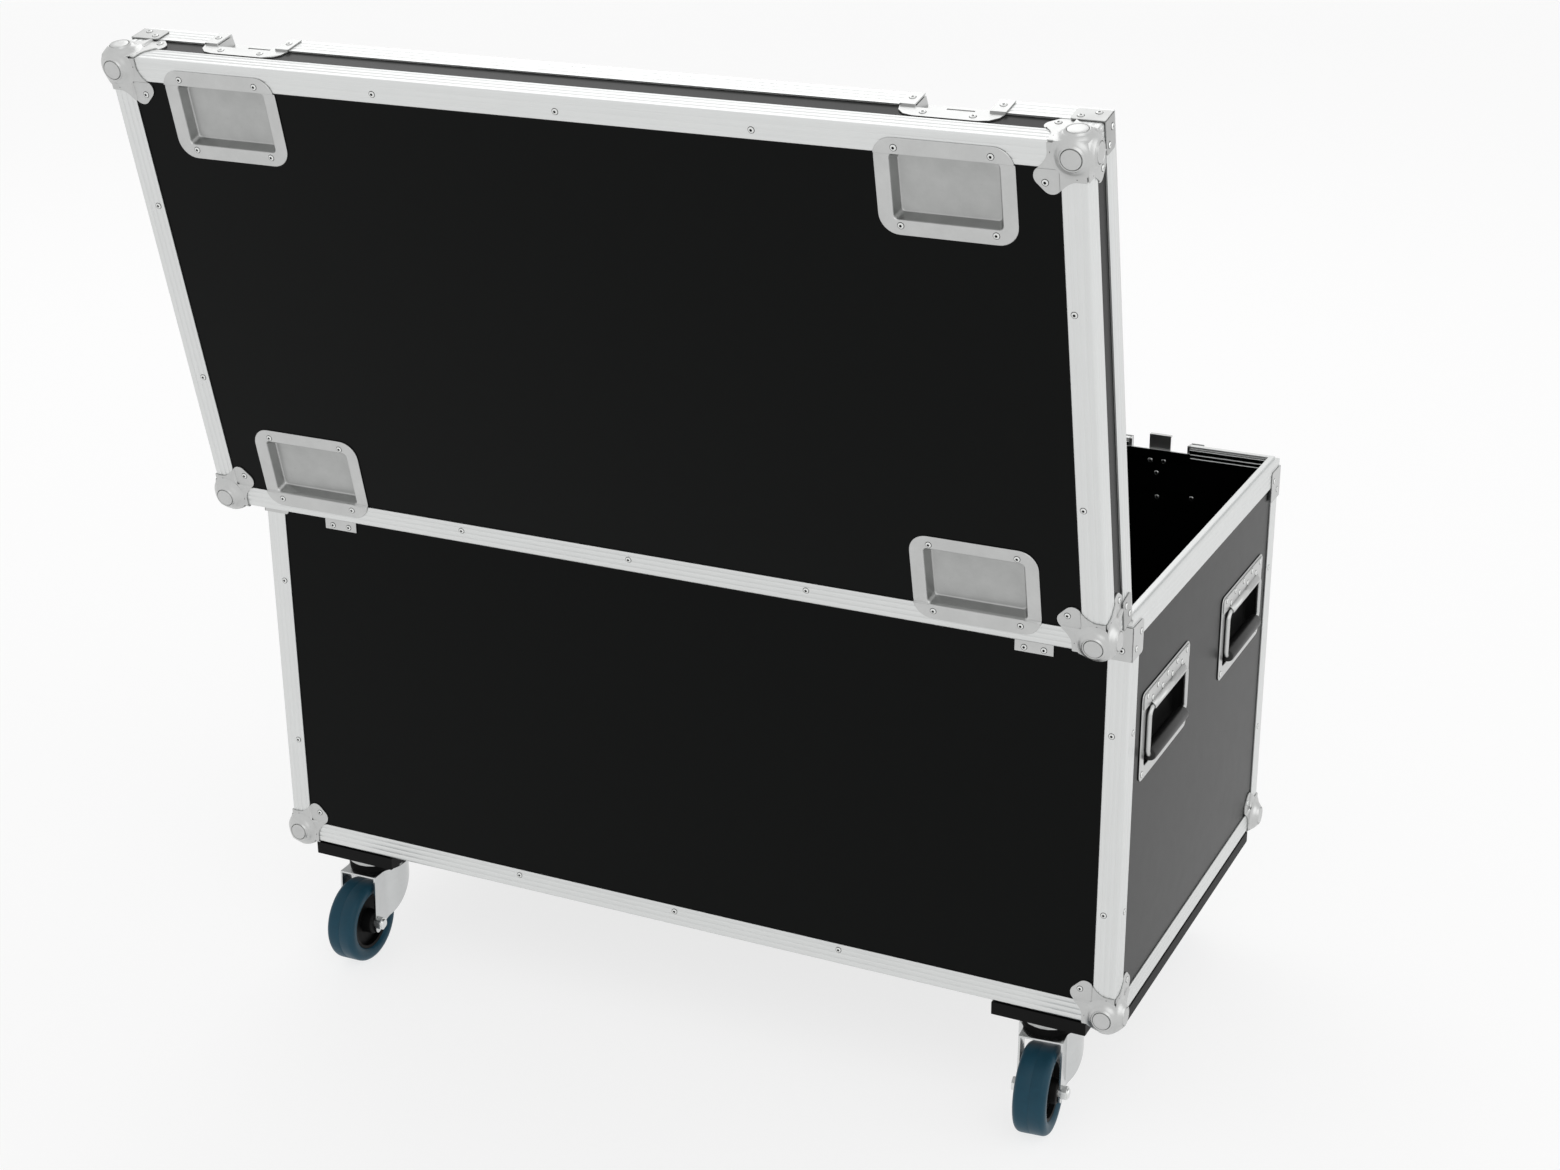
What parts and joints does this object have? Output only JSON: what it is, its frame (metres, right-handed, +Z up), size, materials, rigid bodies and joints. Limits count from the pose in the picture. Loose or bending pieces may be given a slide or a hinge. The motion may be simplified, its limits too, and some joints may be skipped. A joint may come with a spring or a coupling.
{
  "type": "wheeled flight case",
  "caption": "Oblong plywood equipment case in aluminium edge profiles, on swivel castors, with a hinged lid standing open, ball corners, spring handles, butterfly latches and wheel dishes.",
  "frame": {"origin": "on the floor, below the middle of the box round the whole object with its lid open as in the picture; the case's own middle is 97.3 mm further towards the latch side", "axes": "+Z up, +X along the length to the right as seen from the latch side, -Y towards the latches, +Y towards the hinges"},
  "size_m": [1.0692, 0.7484, 1.1471],
  "materials": {
    "laminate": "black laminated plywood, satin",
    "aluminium": "brushed extrusion",
    "zinc": "bright zinc plate on pressed steel",
    "castor_board": "black painted plywood",
    "tyre": "petrol blue elastic rubber",
    "grip": "black moulded rubber"
  },
  "bodies": {
    "case": {"floor_panel": "laminate", "front_panel": "laminate", "rear_panel": "laminate", "left_panel": "laminate", "right_panel": "laminate", "base_edge_frame": "aluminium", "base_rim_profile": "aluminium", "ball_corner_base_rear_right": "zinc", "ball_corner_base_rear_left": "zinc", "ball_corner_base_front_left": "zinc", "ball_corner_base_front_right": "zinc", "castor_board_left": "castor_board", "castor_board_right": "castor_board", "castor_plate_front_left": "zinc", "castor_plate_front_right": "zinc", "castor_plate_rear_left": "zinc", "castor_plate_rear_right": "zinc", "handle_dish_left_front": "zinc", "handle_dish_left_rear": "zinc", "handle_dish_right_front": "zinc", "handle_dish_right_rear": "zinc", "latch_dish_left": "zinc", "latch_dish_right": "zinc", "hinge_base_leaf_left": "zinc", "hinge_base_leaf_right": "zinc"},
    "lid": {"lid_panel": "laminate", "lid_walls": "laminate", "lid_edge_frame": "aluminium", "lid_rim_profile": "aluminium", "ball_corner_lid_rear_right": "zinc", "ball_corner_lid_rear_left": "zinc", "ball_corner_lid_front_left": "zinc", "ball_corner_lid_front_right": "zinc", "wheel_dish_rear_right": "zinc", "wheel_dish_rear_left": "zinc", "wheel_dish_front_left": "zinc", "wheel_dish_front_right": "zinc", "latch_keeper_left": "zinc", "latch_keeper_right": "zinc", "hinge_lid_leaf_left": "zinc", "hinge_lid_leaf_right": "zinc"},
    "castor_fork_front_left": {"castor_fork_front_left": "zinc"},
    "castor_fork_front_right": {"castor_fork_front_right": "zinc"},
    "castor_fork_rear_left": {"castor_fork_rear_left": "zinc"},
    "castor_fork_rear_right": {"castor_fork_rear_right": "zinc"},
    "castor_wheel_front_left": {"castor_wheel_front_left": "tyre"},
    "castor_wheel_front_right": {"castor_wheel_front_right": "tyre"},
    "castor_wheel_rear_left": {"castor_wheel_rear_left": "tyre"},
    "castor_wheel_rear_right": {"castor_wheel_rear_right": "tyre"},
    "handle_bail_left_front": {"handle_bail_left_front": "grip"},
    "handle_bail_left_rear": {"handle_bail_left_rear": "grip"},
    "handle_bail_right_front": {"handle_bail_right_front": "grip"},
    "handle_bail_right_rear": {"handle_bail_right_rear": "grip"},
    "latch_hook_left": {"latch_hook_left": "zinc"},
    "latch_hook_right": {"latch_hook_right": "zinc"},
    "latch_spindle_left": {"latch_spindle_left": "zinc"},
    "latch_spindle_right": {"latch_spindle_right": "zinc"},
    "latch_wing_left": {"latch_wing_left": "zinc"},
    "latch_wing_right": {"latch_wing_right": "zinc"}
  },
  "joints": [
    {"name": "lid_hinge", "type": "hinge", "parent": "case", "child": "lid", "pos_m": [0, 0.17463, 0.6198], "axis": [-1, 0, 0], "range_deg": [-102.85, 0]},
    {"name": "castor_swivel_front_left", "type": "hinge", "parent": "case", "child": "castor_fork_front_left", "pos_m": [-0.4395, -0.32377, 0.13], "axis": [0, 0, 1], "continuous": true},
    {"name": "castor_roll_front_left", "type": "hinge", "parent": "castor_fork_front_left", "child": "castor_wheel_front_left", "pos_m": [-0.44544, -0.28624, 0.05], "axis": [0.9877, 0.1564, 0], "continuous": true},
    {"name": "castor_swivel_front_right", "type": "hinge", "parent": "case", "child": "castor_fork_front_right", "pos_m": [0.4395, -0.32377, 0.13], "axis": [0, 0, 1], "continuous": true},
    {"name": "castor_roll_front_right", "type": "hinge", "parent": "castor_fork_front_right", "child": "castor_wheel_front_right", "pos_m": [0.44347, -0.28598, 0.05], "axis": [0.9945, -0.1045, 0], "continuous": true},
    {"name": "castor_swivel_rear_left", "type": "hinge", "parent": "case", "child": "castor_fork_rear_left", "pos_m": [-0.4395, 0.12923, 0.13], "axis": [0, 0, 1], "continuous": true},
    {"name": "castor_roll_rear_left", "type": "hinge", "parent": "castor_fork_rear_left", "child": "castor_wheel_rear_left", "pos_m": [-0.44314, 0.16706, 0.05], "axis": [0.9954, 0.0958, 0], "continuous": true},
    {"name": "castor_swivel_rear_right", "type": "hinge", "parent": "case", "child": "castor_fork_rear_right", "pos_m": [0.4395, 0.12923, 0.13], "axis": [0, 0, 1], "continuous": true},
    {"name": "castor_roll_rear_right", "type": "hinge", "parent": "castor_fork_rear_right", "child": "castor_wheel_rear_right", "pos_m": [0.43857, 0.16722, 0.05], "axis": [0.9997, 0.0244, 0], "continuous": true},
    {"name": "handle_lift_left_front", "type": "hinge", "parent": "case", "child": "handle_bail_left_front", "pos_m": [-0.5268, -0.23777, 0.4921], "axis": [0, 1, 0], "range_deg": [0, 90], "stiffness_Nm_per_rad": 0.4, "springref_deg": -28.65},
    {"name": "handle_lift_left_rear", "type": "hinge", "parent": "case", "child": "handle_bail_left_rear", "pos_m": [-0.5268, 0.04323, 0.4921], "axis": [0, 1, 0], "range_deg": [0, 90], "stiffness_Nm_per_rad": 0.4, "springref_deg": -28.65},
    {"name": "handle_lift_right_front", "type": "hinge", "parent": "case", "child": "handle_bail_right_front", "pos_m": [0.5268, -0.23777, 0.4921], "axis": [0, -1, 0], "range_deg": [0, 90], "stiffness_Nm_per_rad": 0.4, "springref_deg": -28.65},
    {"name": "handle_lift_right_rear", "type": "hinge", "parent": "case", "child": "handle_bail_right_rear", "pos_m": [0.5268, 0.04323, 0.4921], "axis": [0, -1, 0], "range_deg": [0, 90], "stiffness_Nm_per_rad": 0.4, "springref_deg": -28.65},
    {"name": "latch_turn_left", "type": "hinge", "parent": "case", "child": "latch_spindle_left", "pos_m": [-0.383, -0.36477, 0.5858], "axis": [0, -1, 0], "range_deg": [0, 180]},
    {"name": "latch_wing_fold_left", "type": "hinge", "parent": "latch_spindle_left", "child": "latch_wing_left", "pos_m": [-0.383, -0.36307, 0.5858], "axis": [-1, 0, 0], "range_deg": [0, 90]},
    {"name": "latch_hook_slide_left", "type": "slide", "parent": "case", "child": "latch_hook_left", "axis": [0, 0, 1], "range_m": [0, 0.0091]},
    {"name": "latch_turn_right", "type": "hinge", "parent": "case", "child": "latch_spindle_right", "pos_m": [0.383, -0.36477, 0.5858], "axis": [0, -1, 0], "range_deg": [0, 180]},
    {"name": "latch_wing_fold_right", "type": "hinge", "parent": "latch_spindle_right", "child": "latch_wing_right", "pos_m": [0.383, -0.36307, 0.5858], "axis": [-1, 0, 0], "range_deg": [0, 90]},
    {"name": "latch_hook_slide_right", "type": "slide", "parent": "case", "child": "latch_hook_right", "axis": [0, 0, 1], "range_m": [0, 0.0091]}
  ],
  "couplings": [
    {"joint": "latch_hook_slide_left", "follows": "latch_turn_left", "m_per_rad": 0.0028648},
    {"joint": "latch_hook_slide_right", "follows": "latch_turn_right", "m_per_rad": 0.0028648}
  ]
}
